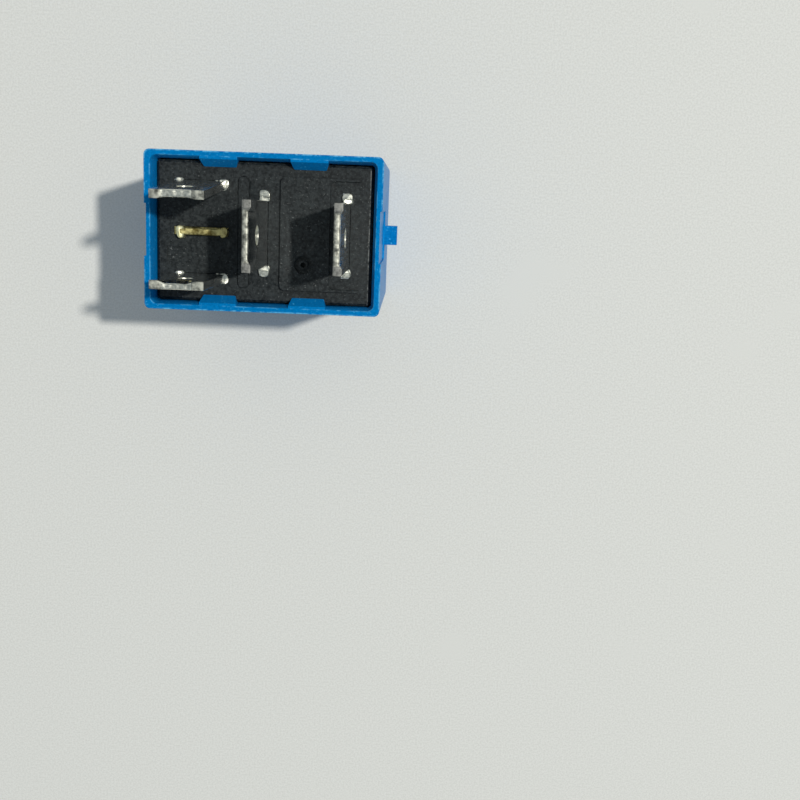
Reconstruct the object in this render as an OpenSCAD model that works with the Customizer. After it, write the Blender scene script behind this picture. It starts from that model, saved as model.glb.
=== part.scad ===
// Plug-in power relay with blade terminals, standing on its closed top.
// X runs from the coil terminals to the common terminal, Y runs across, and Z points up to the blade tips.
// The origin is on the closed top, below the middle of the cover. Sizes are in millimetres.

/* [Cover] */
// Length of the cover
cover_l = 22.9; // [22.4:0.1:26]
// Width of the cover
cover_w = 15.2; // [15:0.1:18]
// Height of the cover from the closed top to the rim
cover_h = 25; // [24.5:0.1:29]
// Thickness of the end walls
end_wall = 0.85; // [0.7:0.05:1.1]
// Thickness of the long walls
side_wall = 0.75; // [0.6:0.05:0.9]
// Thickness of the closed top
top_wall = 1; // [0.8:0.05:1.4]
// Radius of the upright outer corners
corner_r = 0.55; // [0.35:0.05:0.8]
// Radius of the edge round the closed top
top_edge_r = 0.3; // [0.1:0.05:0.35]
// Width of the lead-in bevel inside the rim, on the end walls
end_bevel = 0.28; // [0.16:0.02:0.5]
// Width of the lead-in bevel inside the rim, on the long walls
side_bevel = 0.26; // [0.15:0.01:0.4]
// Height of the lead-in bevel inside the rim
rim_bevel_h = 0.8; // [0.4:0.05:1]

/* [Cover details] */
// Width of the small tab on each end wall
end_tab_w = 2; // [1.2:0.1:3]
// How far an end tab stands out
end_tab_out = 1.3; // [0.6:0.1:1.6]
// Height of an end tab
end_tab_h = 2.4; // [1.5:0.1:4]
// Height of an end tab above the closed top
end_tab_z = 11.2; // [6:0.1:16]
// Width of the shallow relief above an end tab
relief_w = 5; // [3:0.1:7]
// Depth of the relief
relief_d = 0.2; // [0.1:0.05:0.3]
// Diameter of the moulding gate's recess in the closed top
gate_d = 2.8; // [2:0.1:4]
// Depth of the gate's recess
gate_depth = 0.4; // [0.2:0.05:0.5]
// Diameter of the gate's broken stub
gate_stub_d = 1.7; // [1:0.1:1.9]
// Height of the gate's broken stub
gate_stub_h = 0.2; // [0.1:0.05:0.3]
// Width of the inner ribs that carry the base
rib_w = 1.2; // [0.8:0.1:2]
// How far the inner ribs stand out of the walls
rib_reach = 0.55; // [0.45:0.05:0.7]
// Place of the ribs on the long walls, from the middle
side_rib_x = 8; // [7:0.1:9]
// Place of the ribs on the end walls, from the middle
end_rib_y = 4.9; // [4.5:0.1:5.4]
// Width of a snap wedge at the wall
wedge_w = 3.6; // [2.5:0.1:4]
// How far a snap wedge reaches inwards
wedge_reach = 0.7; // [0.5:0.02:0.9]
// Narrowing of a snap wedge on each side, from the wall to its inner edge
wedge_taper = 0.2; // [0:0.05:0.4]
// Cut across the inner corners of a snap wedge
wedge_corner = 0.08; // [0.04:0.02:0.4]
// Place of the snap wedges, from the middle
wedge_x = 4.35; // [3.5:0.05:5]

/* [Base] */
// Depth of the base's face under the rim
base_recess = 1.35; // [1:0.05:1.8]
// Thickness of the base
base_t = 2.2; // [1.8:0.1:2.6]
// Gap between the base and the cover's walls
base_gap = 0.1; // [0.05:0.05:0.35]
// Chamfer round the base's face
base_edge = 0.26; // [0.1:0.02:0.3]
// Clearance round a terminal in its slot
slot_fit = 0.02; // [0.01:0.01:0.08]
// Clearance between a snap wedge and the base's face
snap_fit = 0.03; // [0.01:0.01:0.08]
// Place of the raised rail
rail_x = -2.06; // [-2.3:0.02:-1.9]
// Width of the raised rail
rail_w = 1; // [0.8:0.05:1.1]
// Length of the raised rail
rail_l = 10.6; // [8:0.1:11.5]
// Height of the raised rail
rail_h = 0.2; // [0.1:0.02:0.5]
// Width of the groove round the raised rail
rail_groove_w = 0.06; // [0.04:0.01:0.15]
// Depth of the groove round the raised rail
rail_groove_d = 0.06; // [0.03:0.01:0.2]
// Place of the raised panel's inner edge
panel_x = 1.54; // [1.4:0.02:2.2]
// Length of the raised panel
panel_l = 7.75; // [7.4:0.05:8]
// Width of the raised panel
panel_w = 10.9; // [10.2:0.1:11.4]
// Height of the raised panel
panel_h = 0.35; // [0.1:0.05:0.5]
// Corner radius of the panel and of its recess
panel_r = 0.5; // [0.3:0.1:1]
// Length of the panel's recess round the common terminal
recess_l = 2.95; // [2.6:0.05:3.2]
// Width of the panel's recess round the common terminal
recess_w = 10.4; // [9.4:0.1:10.8]
// Diameter of the ejector mark
mark_d = 1.75; // [1:0.05:2]
// Diameter of the pin hole in the ejector mark
mark_hole_d = 0.5; // [0.3:0.05:0.6]
// Width of the ejector mark's ring
mark_ring = 0.4; // [0.2:0.05:0.45]
// Depth of the ejector mark
mark_d_down = 0.3; // [0.1:0.02:0.4]
// Place of the ejector mark along X
mark_x = 3.85; // [3.6:0.05:4.5]
// Place of the ejector mark along Y
mark_y = -2.9; // [-3.6:0.1:-2.4]
// Place of the middle of the shallow window along X
window_x = -8.3; // [-8.6:0.05:-8]
// Place of the middle of the shallow window along Y
window_y = -2.3; // [-2.5:0.05:-2.1]
// Length of the shallow window
window_l = 2.4; // [1.5:0.1:2.6]
// Width of the shallow window
window_w = 1.4; // [1:0.1:1.8]
// Depth of the shallow window
window_d = 0.08; // [0.04:0.01:0.15]
// Diameter of the posts under the base that hold the yoke
post_d = 1.6; // [1:0.1:2]

/* [Terminals] */
// Thickness of the blades
blade_t = 0.8; // [0.7:0.02:0.82]
// Length of the blades from the base's face
blade_l = 11.05; // [9:0.05:12]
// Width of the two power blades
power_w = 6.3; // [5.8:0.1:6.6]
// Width of the two coil blades
coil_w = 4.8; // [4.2:0.1:4.9]
// Place of the make blade along X
make_x = -0.08; // [-0.2:0.02:0.2]
// Distance from the make blade to the common blade
power_pitch = 8; // [7.9:0.05:8.2]
// Distance from the make blade to the row of coil blades
coil_row = 6.1; // [5.9:0.05:6.3]
// Distance of a coil blade from the middle plane
coil_y = 4.48; // [4.1:0.02:4.6]
// Inward bend of the upper coil blade, in degrees
coil_lean = 5.75; // [0:0.25:7]
// Diameter of the hole in a power blade
power_hole_d = 1.8; // [1.4:0.05:2]
// Distance of that hole from the tip
power_hole_drop = 3.9; // [3:0.1:5]
// Diameter of the hole in a coil blade
coil_hole_d = 1.45; // [1.2:0.05:1.7]
// Distance of that hole from the tip
coil_hole_drop = 3.6; // [3:0.1:5]
// Length of the coined bevel at a tip
tip_l = 1.2; // [0.8:0.1:1.6]
// Thickness left at a coined tip
tip_t = 0.48; // [0.3:0.02:0.6]
// Full-thickness land beside the bevel
tip_land = 0.75; // [0.5:0.05:1]
// Run of the bevel's slanted ends
tip_run = 0.25; // [0:0.05:0.4]
// Length of a staked ear along the blade's width
ear_l = 1.05; // [0.8:0.05:1.3]
// Thickness of a staked ear
ear_t = 1.2; // [1:0.02:1.3]
// Height of a staked ear above the base
ear_h = 0.5; // [0.3:0.05:0.7]
// Distance between the ears of a power blade, middle to middle
power_ears = 7.2; // [7:0.02:7.7]
// Distance between the ears of a coil blade, middle to middle
coil_ears = 4.2; // [4:0.02:4.4]
// Height of the brass stub above the base
stub_h = 0.9; // [0.6:0.1:1.5]
// Width of the make terminal's arm under the base
arm_w = 2.1; // [1.6:0.1:2.2]
// Place of that arm, from the middle plane
arm_y = -2.1; // [-2.3:0.05:-2]
// Width of the make terminal's foot
foot_w = 3.6; // [3.2:0.1:3.8]
// Width of the common terminal's riveted leg
leg_w = 5; // [4.5:0.1:5.5]
// Width of a coil terminal's inner leg
coil_leg_w = 1.7; // [1.4:0.1:1.9]

/* [Magnet] */
// Thickness of the yoke
yoke_t = 1.3; // [1.1:0.05:1.5]
// Width of the yoke
yoke_w = 9; // [8:0.1:10]
// Room between the base and the yoke
yoke_drop = 2.3; // [2:0.1:2.6]
// Reach of the yoke past the core's axis
yoke_over = 3; // [2.2:0.1:3.2]
// Diameter of the core
core_d = 5; // [4.4:0.1:5.4]
// Diameter of the core's riveted tail
tail_d = 3.4; // [2.8:0.1:3.8]
// Diameter of the pole head
pole_d = 8; // [7:0.1:8.6]
// Thickness of the pole head
pole_t = 0.9; // [0.7:0.05:1.2]
// Length of the bobbin's flanges along X
flange_l = 11.2; // [11:0.1:11.4]
// Width of the bobbin's flanges
flange_w = 11.6; // [11:0.1:12]
// Thickness of the bobbin's flanges
flange_t = 0.8; // [0.6:0.05:1]
// Wall of the bobbin's tube
tube_wall = 0.5; // [0.4:0.05:0.7]
// Outer diameter of the winding
winding_d = 10.8; // [10.6:0.05:10.95]
// Diameter of the coil's wire ends
wire_d = 0.25; // [0.2:0.05:0.35]
// Clearance between the core, the bobbin and the yoke
coil_fit = 0.05; // [0.02:0.01:0.1]

/* [Contacts] */
// Thickness of the armature
armature_t = 1.1; // [0.9:0.05:1.3]
// Width of the armature
armature_w = 8.6; // [7.5:0.1:9.5]
// Reach of the armature past the pole head
armature_over = 0.3; // [0:0.05:0.5]
// Gap between the armature and the pole when closed
pole_gap = 0.05; // [0.03:0.01:0.1]
// Thickness of the leaf spring
spring_t = 0.15; // [0.1:0.01:0.2]
// Width of the leaf spring on the armature
spring_w = 4.4; // [4.2:0.1:5]
// Width of the leaf spring at the contact
spring_tip_w = 3.4; // [3:0.1:3.6]
// Radius of the leaf spring's bend round the pivot
spring_r = 1.3; // [1.2:0.05:1.5]
// Travel of the moving contact
contact_gap = 0.9; // [0.6:0.05:1.1]
// Diameter of the contacts
contact_d = 2.6; // [2.2:0.1:2.8]
// Height of a contact's head
contact_h = 0.6; // [0.4:0.05:0.7]
// Diameter of a contact's shank
shank_d = 1.3; // [1:0.1:1.5]
// Height of a contact's riveted end
rivet_end_h = 0.3; // [0.2:0.05:0.4]
// Rest gap between the moving contact and the back stop
rest_gap = 0.1; // [0.08:0.01:0.15]
// Gap between the closed contacts
touch_gap = 0.02; // [0.01:0.01:0.05]
// Width of the back stop's strip
stop_w = 2.4; // [2:0.1:2.6]
// Place of the back stop's leg, from the middle plane
stop_y = 2.8; // [2.7:0.05:3]
// Shift of the back stop and contacts from the row of coil blades
stop_shift = 1; // [0.8:0.05:1.1]
// Room between the back stop and the closed top
stop_room = 0.5; // [0.3:0.05:0.8]
// Distance from the contacts' axis to the make terminal's upright
foot_reach = 1.6; // [1.5:0.05:1.7]

/* [Rivets and resistor] */
// Diameter of the rivets
rivet_d = 1.4; // [1.1:0.1:1.6]
// Diameter of the rivet heads
rivet_head_d = 2.4; // [2:0.1:2.6]
// Height of the rivet heads
rivet_head_h = 0.35; // [0.25:0.05:0.45]
// Distance between the two spring rivets
spring_rivet_pitch = 3.6; // [3:0.1:4]
// Distance between the two armature rivets
armature_rivet_pitch = 2.8; // [2.6:0.1:3]
// Diameter of the resistor's body
resistor_d = 1.8; // [1.5:0.1:1.9]
// Length of the resistor's body
resistor_l = 5.2; // [4:0.1:5.6]
// Diameter of the resistor's leads
lead_d = 0.45; // [0.35:0.05:0.5]

/* [Hidden] */
$fn = 64;
hull_fn = 32;
eps = 0.01;

// Colours
cover_blue = "#1672b8";
base_grey = "#33363a";
tinned = "#c9cbcd";
brass = "#c2a35a";
iron = "#8e9296";
copper = "#b06a3c";
former_white = "#d8d4c8";
silver = "#dcdcd8";

// Inner faces of the cover's walls
inner_x = cover_l / 2 - end_wall;
inner_y = cover_w / 2 - side_wall;
inner_r = 0.4;

// Heights of the base's two faces
face_z = cover_h - base_recess;
seat_z = face_z - base_t;

// Outline of the base
base_x = inner_x - base_gap;
base_y = inner_y - base_gap;
base_r = 0.45;
rail_r = 0.38;

// Planes of the terminals
common_x = make_x + power_pitch;
coil_x = make_x - coil_row;
power_shank_w = power_ears + ear_l;
coil_shank_w = coil_ears + ear_l;

// Common terminal's leg, spring and yoke lie flat on each other
spring_x = common_x - blade_t / 2 - spring_t;
yoke_in_x = spring_x - yoke_t;
axis_x = yoke_in_x - coil_fit - flange_l / 2;

// Contacts and back stop
contact_x = coil_x - stop_shift;
stop_top_z = top_wall + stop_room + blade_t;
upright_x = contact_x - foot_reach - blade_t;

// The pivot is the yoke's lower edge, level with the pole
spring_z = stop_top_z + rest_gap + rivet_end_h + contact_gap;
armature_z = spring_z + spring_t;
pole_z = armature_z + armature_t + pole_gap;
pivot_inset = 0.3;
pivot_x = spring_x - pivot_inset;
open_deg = asin(contact_gap / (pivot_x - contact_x));

// Fixed contact hangs under the make terminal's foot
fixed_z = armature_z + contact_h + touch_gap;
foot_z = fixed_z + contact_h;

// Heights of the coil
yoke_top_z = seat_z - yoke_drop;
yoke_low_z = yoke_top_z - yoke_t;
flange_top_z = yoke_low_z - coil_fit;
winding_top_z = flange_top_z - flange_t;
flange_low_z = pole_z + pole_t + coil_fit;
winding_low_z = flange_low_z + flange_t;
tube_d = core_d + 2 * coil_fit + 2 * tube_wall;

// Wire ends rise beside the coil terminals' legs
wire_gap = 0.02;
wire_y = coil_y - blade_t / 2 - wire_d / 2 - wire_gap;
wire_inset = 0.05;
wire_run = winding_d / 2 - wire_d / 2 - wire_inset;
wire_x = axis_x - sqrt(wire_run * wire_run - wire_y * wire_y);
wire_rise = 1.8;
wire_hole_d = 1.5 * wire_d;
leg_hi_x = wire_x + wire_d;
leg_lo_x = leg_hi_x - coil_leg_w;
leg_depth = 0.6;

// Make terminal's arm lies against the base, and the resistor lies under it
arm_z = seat_z - blade_t;
resistor_gap = 0.2;
lead_inset = 0.1;
resistor_x = leg_lo_x + lead_d / 2 + lead_inset;
resistor_z = arm_z - resistor_gap - resistor_d / 2;

// Rivets of the common terminal
leg_margin = 1.4;
low_rivet_z = (winding_low_z + winding_top_z) / 2;
rivet_zs = [low_rivet_z, low_rivet_z + spring_rivet_pitch];
leg_low_z = low_rivet_z - leg_margin;
rivet_shift = 0.4;
armature_rivet_x = (axis_x + pivot_x) / 2 + rivet_shift;
rivet_fit = 0.03;

// A flat outline with round corners
module round_rect(l, w, r) {
    square([l - 2 * r, w], center = true);
    square([l, w - 2 * r], center = true);
    for (x = [-1, 1], y = [-1, 1])
        translate([x * (l / 2 - r), y * (w / 2 - r)])
            circle(r);
}

// A block with round upright corners and a round lower edge
module soft_block(l, w, h, r, edge) {
    hull()
        for (x = [-1, 1], y = [-1, 1], step = [0:30:90])
            translate([x * (l / 2 - r), y * (w / 2 - r), edge * (1 - sin(step))])
                cylinder(r = r - edge * (1 - cos(step)), h = h - edge * (1 - sin(step)), $fn = hull_fn);
}

// A cutter whose outline grows with height
module flared_plate(l, w, r, h, grow_x, grow_y) {
    hull() {
        linear_extrude(eps)
            round_rect(l, w, r, $fn = hull_fn);
        translate([0, 0, h - eps])
            linear_extrude(eps)
                round_rect(l + 2 * grow_x, w + 2 * grow_y, r + min(grow_x, grow_y), $fn = hull_fn);
    }
}

// One snap wedge on the wall at +Y, which slopes inwards from the rim to its lower edge
module snap_wedge() {
    low_z = face_z + snap_fit;
    wall_y = inner_y + (side_bevel + side_wall) / 2;
    side = wedge_w / 2 - wedge_taper;
    intersection() {
        rotate([90, 0, 90])
            translate([0, 0, -wedge_w / 2])
                linear_extrude(wedge_w)
                    polygon([
                        [wall_y, cover_h], [inner_y, cover_h],
                        [inner_y - wedge_reach, low_z], [wall_y, low_z]
                    ]);
        linear_extrude(cover_h)
            polygon([
                [-wedge_w / 2, wall_y], [-wedge_w / 2, inner_y],
                [-side, inner_y - wedge_reach + wedge_corner], [-side + wedge_corner, inner_y - wedge_reach],
                [side - wedge_corner, inner_y - wedge_reach], [side, inner_y - wedge_reach + wedge_corner],
                [wedge_w / 2, inner_y], [wedge_w / 2, wall_y]
            ]);
    }
}

// Ribs inside the walls, from the closed top to the base
module seat_ribs() {
    sunk = 0.3;
    high = seat_z - top_wall + sunk;
    for (side = [-1, 1], place = [-1, 1]) {
        translate([place * side_rib_x - rib_w / 2, side * (inner_y + (sunk - rib_reach) / 2), top_wall - sunk])
            translate([0, -(rib_reach + sunk) / 2, 0])
                cube([rib_w, rib_reach + sunk, high]);
        translate([side * (inner_x + (sunk - rib_reach) / 2), place * end_rib_y - rib_w / 2, top_wall - sunk])
            translate([-(rib_reach + sunk) / 2, 0, 0])
                cube([rib_reach + sunk, rib_w, high]);
    }
}

module cover() {
    color(cover_blue) {
        difference() {
            union() {
                soft_block(cover_l, cover_w, cover_h, corner_r, top_edge_r);
                for (side = [-1, 1])
                    translate([side * cover_l / 2 - end_tab_out, -end_tab_w / 2, end_tab_z])
                        cube([2 * end_tab_out, end_tab_w, end_tab_h]);
            }
            translate([0, 0, top_wall])
                linear_extrude(cover_h)
                    round_rect(2 * inner_x, 2 * inner_y, inner_r);
            translate([0, 0, cover_h - rim_bevel_h])
                flared_plate(2 * inner_x, 2 * inner_y, inner_r, rim_bevel_h + eps, end_bevel, side_bevel);
            for (side = [-1, 1])
                translate([
                    side * (cover_l / 2 + relief_d) - 2 * relief_d, -relief_w / 2, end_tab_z + end_tab_h
                ])
                    cube([4 * relief_d, relief_w, cover_h]);
            translate([0, 0, -eps])
                cylinder(d = gate_d, h = gate_depth + eps);
        }
        seat_ribs();
        for (side = [0, 180], place = [-1, 1])
            rotate(side)
                translate([place * wedge_x, 0, 0])
                    snap_wedge();
        translate([0, 0, gate_depth - gate_stub_h])
            cylinder(d = gate_stub_d, h = gate_stub_h + eps);
    }
}

// Room for a terminal's shank through the base, with its width along X
module slot(w) {
    translate([-w / 2 - slot_fit, -blade_t / 2 - slot_fit, seat_z - eps])
        cube([w + 2 * slot_fit, blade_t + 2 * slot_fit, base_t + 2 * eps]);
}

// An outline that starts at x = 0 with round corners and ends square at +X
module half_round_rect(l, w, r) {
    intersection() {
        translate([l, 0])
            round_rect(2 * l, w, r);
        translate([0, -w / 2])
            square([l, w]);
    }
}

// The raised panel, with a recess that is open towards +X
module raised_panel() {
    translate([panel_x, 0, face_z - eps])
        linear_extrude(panel_h + eps)
            difference() {
                half_round_rect(panel_l, panel_w, panel_r);
                translate([panel_l - recess_l, 0])
                    half_round_rect(recess_l + eps, recess_w, panel_r);
            }
}

// The raised rail stands in a narrow groove of its own outline
module rail_groove() {
    translate([rail_x, 0, face_z - rail_groove_d])
        linear_extrude(rail_groove_d + eps)
            difference() {
                round_rect(rail_w + 2 * rail_groove_w, rail_l + 2 * rail_groove_w, rail_r + rail_groove_w);
                round_rect(rail_w - eps, rail_l - eps, rail_r);
            }
}

// Section of the base, with a chamfer at both ends of its face
module base_section(w) {
    polygon([
        [-w / 2, 0], [w / 2, 0], [w / 2, base_t - base_edge], [w / 2 - base_edge, base_t],
        [-w / 2 + base_edge, base_t], [-w / 2, base_t - base_edge]
    ]);
}

// Plate with round upright corners and a chamfer along all four edges of its face
module base_plate() {
    translate([0, 0, seat_z])
        intersection() {
            linear_extrude(base_t)
                round_rect(2 * base_x, 2 * base_y, base_r);
            translate([0, base_y, 0])
                rotate([90, 0, 0])
                    linear_extrude(2 * base_y)
                        base_section(2 * base_x);
            translate([-base_x, 0, 0])
                rotate([90, 0, 90])
                    linear_extrude(2 * base_x)
                        base_section(2 * base_y);
        }
}

module base() {
    color(base_grey) {
        difference() {
            union() {
                base_plate();
                raised_panel();
            }
            rail_groove();
            for (x = [make_x, common_x])
                translate([x, 0, 0])
                    rotate(90)
                        slot(power_shank_w);
            for (y = [-coil_y, 0, coil_y])
                translate([coil_x, y, 0])
                    slot(coil_shank_w);
            translate([mark_x, mark_y, face_z + panel_h - mark_d_down])
                difference() {
                    cylinder(d = mark_d, h = 2 * mark_d_down);
                    cylinder(d = mark_d - 2 * mark_ring, h = 2 * mark_d_down);
                }
            translate([mark_x, mark_y, face_z + panel_h - 2 * mark_d_down])
                cylinder(d = mark_hole_d, h = 3 * mark_d_down);
            translate([window_x - window_l / 2, window_y - window_w / 2, face_z - window_d])
                cube([window_l, window_w, 2 * window_d]);
        }
        translate([rail_x, 0, face_z - rail_groove_d - eps])
            linear_extrude(rail_groove_d + rail_h + eps)
                round_rect(rail_w, rail_l, rail_r);
        for (y = [-1, 1])
            translate([axis_x + tail_d / 2 + post_d, y * (yoke_w / 2 - post_d), yoke_top_z])
                cylinder(d = post_d, h = seat_z - yoke_top_z + eps);
        translate([axis_x - tail_d / 2 - post_d / 2, yoke_w / 2 - post_d, yoke_top_z])
            cylinder(d = post_d, h = seat_z - yoke_top_z + eps);
    }
}

// A blade with its hole and coined tip, width along X, bevel on the face at -Y, root at z = 0
module blade(w, hole_d, hole_drop) {
    root = 0.15;
    half = w / 2 - tip_land;
    difference() {
        translate([-w / 2, -blade_t / 2, -root])
            cube([w, blade_t, blade_l + root]);
        translate([0, 0, blade_l - hole_drop])
            rotate([90, 0, 0])
                cylinder(d = hole_d, h = 2 * blade_t, center = true);
        hull() {
            translate([-half, -blade_t / 2 - blade_t, blade_l])
                cube([2 * half, 2 * blade_t - tip_t, eps]);
            translate([-half + tip_run, -blade_t / 2 - blade_t, blade_l - tip_l])
                cube([2 * (half - tip_run), blade_t, eps]);
        }
    }
}

// The shank that fills a slot, with a half-round staked ear at each end, width along X
module shank(w) {
    translate([-w / 2, -blade_t / 2, -base_t])
        cube([w, blade_t, base_t]);
    for (side = [0, 180])
        rotate(side)
            translate([w / 2 - ear_t / 2, 0, 0]) {
                cylinder(d = ear_t, h = ear_h);
                translate([ear_t / 2 - ear_l, -ear_t / 2, 0])
                    cube([ear_l - ear_t / 2, ear_t, ear_h]);
            }
}

// A coil terminal with its width along X, bevelled on the face at -Y and leaning to -Y
module coil_terminal(lean) {
    translate([coil_x, 0, face_z]) {
        shank(coil_shank_w);
        rotate([lean, 0, 0])
            blade(coil_w, coil_hole_d, coil_hole_drop);
    }
    translate([leg_lo_x, -blade_t / 2, flange_top_z - leg_depth])
        cube([coil_leg_w, blade_t, seat_z - flange_top_z + leg_depth]);
}

module upper_coil_terminal() {
    color(tinned)
        translate([0, coil_y, 0])
            coil_terminal(coil_lean);
}

module lower_coil_terminal() {
    color(tinned)
        mirror([0, 1, 0])
            translate([0, coil_y, 0])
                coil_terminal(0);
}

// Rivet holes through the common terminal, the spring and the yoke
module spring_rivet_holes() {
    for (z = rivet_zs)
        translate([yoke_in_x - yoke_t, 0, z])
            rotate([0, 90, 0])
                cylinder(d = rivet_d + 2 * rivet_fit, h = 4 * yoke_t);
}

module common_terminal() {
    color(tinned)
        difference() {
            union() {
                translate([common_x, 0, face_z])
                    rotate(90) {
                        shank(power_shank_w);
                        blade(power_w, power_hole_d, power_hole_drop);
                    }
                translate([common_x - blade_t / 2, -leg_w / 2, leg_low_z])
                    cube([blade_t, leg_w, seat_z - leg_low_z + eps]);
            }
            spring_rivet_holes();
        }
}

// Holes for the two contact rivets, both on the contacts' axis
module contact_hole(z, h) {
    translate([contact_x, 0, z])
        cylinder(d = shank_d + 2 * rivet_fit, h = h);
}

module make_terminal() {
    upright_w = foot_w / 2 - arm_y + arm_w / 2;
    color(tinned)
        difference() {
            union() {
                translate([make_x, 0, face_z])
                    rotate(90) {
                        shank(power_shank_w);
                        blade(power_w, power_hole_d, power_hole_drop);
                    }
                translate([upright_x, arm_y - arm_w / 2, arm_z])
                    cube([make_x + blade_t / 2 - upright_x, arm_w, blade_t]);
                translate([make_x - blade_t / 2, arm_y - arm_w / 2, arm_z])
                    cube([blade_t, arm_w, blade_t + eps]);
                translate([upright_x, arm_y - arm_w / 2, foot_z])
                    cube([blade_t, arm_w, seat_z - foot_z]);
                translate([upright_x, arm_y - arm_w / 2, foot_z])
                    cube([blade_t, upright_w, winding_top_z - foot_z]);
                translate([upright_x, -foot_w / 2, foot_z])
                    cube([contact_x + contact_d / 2 - upright_x, foot_w, blade_t]);
            }
            contact_hole(foot_z - eps, blade_t + 2 * eps);
        }
}

// Brass strip: the stub in the base, a jog to one side, the leg and the foot under the moving contact
module back_stop() {
    jog_z = arm_z - blade_t;
    foot_end = -shank_d;
    color(brass) {
        translate([coil_x, 0, face_z]) {
            shank(coil_shank_w);
            translate([-coil_w / 2, -blade_t / 2, -eps])
                cube([coil_w, blade_t, stub_h]);
        }
        translate([contact_x - stop_w / 2, 0, 0])
            rotate([90, 0, 90])
                linear_extrude(stop_w)
                    polygon([
                        [-blade_t / 2, seat_z + eps], [-blade_t / 2, jog_z],
                        [stop_y - blade_t / 2, jog_z], [stop_y - blade_t / 2, stop_top_z],
                        [foot_end, stop_top_z], [foot_end, stop_top_z - blade_t],
                        [stop_y + blade_t / 2, stop_top_z - blade_t], [stop_y + blade_t / 2, arm_z],
                        [blade_t / 2, arm_z], [blade_t / 2, seat_z + eps]
                    ]);
    }
}

module bobbin() {
    bore_d = core_d + 2 * coil_fit;
    color(former_white)
        translate([axis_x, 0, 0])
            difference() {
                union() {
                    for (z = [flange_low_z, winding_top_z])
                        translate([0, 0, z])
                            linear_extrude(flange_t)
                                round_rect(flange_l, flange_w, flange_t);
                    translate([0, 0, flange_low_z])
                        cylinder(d = tube_d, h = flange_top_z - flange_low_z);
                }
                translate([0, 0, flange_low_z - eps])
                    cylinder(d = bore_d, h = flange_top_z - flange_low_z + 2 * eps);
                for (side = [-1, 1]) {
                    translate([
                        leg_lo_x - axis_x - slot_fit,
                        side * coil_y - blade_t / 2 - slot_fit,
                        flange_top_z - leg_depth - slot_fit
                    ])
                        cube([coil_leg_w + 2 * slot_fit, blade_t + 2 * slot_fit, flange_t]);
                    translate([wire_x - axis_x, side * wire_y, winding_top_z - eps])
                        cylinder(d = wire_hole_d, h = flange_t + 2 * eps);
                }
            }
}

module coil_winding() {
    color(copper)
        translate([axis_x, 0, winding_low_z])
            difference() {
                cylinder(d = winding_d, h = winding_top_z - winding_low_z);
                translate([0, 0, -eps])
                    cylinder(d = tube_d, h = winding_top_z - winding_low_z + 2 * eps);
            }
}

module coil_lead_wires() {
    color(copper)
        for (side = [-1, 1])
            translate([wire_x, side * wire_y, winding_top_z])
                cylinder(d = wire_d, h = wire_rise);
}

module iron_core() {
    color(iron)
        translate([axis_x, 0, 0]) {
            translate([0, 0, pole_z])
                cylinder(d = pole_d, h = pole_t);
            translate([0, 0, pole_z])
                cylinder(d = core_d, h = yoke_low_z - pole_z);
            translate([0, 0, pole_z])
                cylinder(d = tail_d, h = yoke_top_z - pole_z);
        }
}

module yoke() {
    color(iron)
        difference() {
            union() {
                translate([yoke_in_x, -yoke_w / 2, pole_z])
                    cube([yoke_t, yoke_w, yoke_top_z - pole_z]);
                translate([axis_x - yoke_over, -yoke_w / 2, yoke_low_z])
                    cube([yoke_in_x + yoke_t - axis_x + yoke_over, yoke_w, yoke_t]);
            }
            translate([axis_x, 0, yoke_low_z - eps])
                cylinder(d = tail_d, h = yoke_t + 2 * eps);
            spring_rivet_holes();
        }
}

// Turns a closed piece of the armature to the open position, about the yoke's edge
module opened() {
    translate([pivot_x, 0, pole_z])
        rotate([0, -open_deg, 0])
            translate([-pivot_x, 0, -pole_z])
                children();
}

// Holes for the two armature rivets
module armature_rivet_holes() {
    for (side = [-1, 1])
        translate([armature_rivet_x, side * armature_rivet_pitch / 2, spring_z - spring_t])
            cylinder(d = rivet_d + 2 * rivet_fit, h = armature_t + 3 * spring_t);
}

// Iron plate with a round lower edge at the pivot, where the spring bends round it
module armature() {
    free_x = axis_x - pole_d / 2 - armature_over;
    round_x = pivot_x - armature_t;
    color(iron)
        opened()
            difference() {
                translate([0, armature_w / 2, 0])
                    rotate([90, 0, 0])
                        linear_extrude(armature_w) {
                            translate([free_x, armature_z])
                                square([round_x - free_x, armature_t]);
                            translate([round_x, armature_z + armature_t])
                                intersection() {
                                    circle(armature_t);
                                    translate([0, -armature_t])
                                        square(armature_t);
                                }
                        }
                armature_rivet_holes();
            }
}

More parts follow.
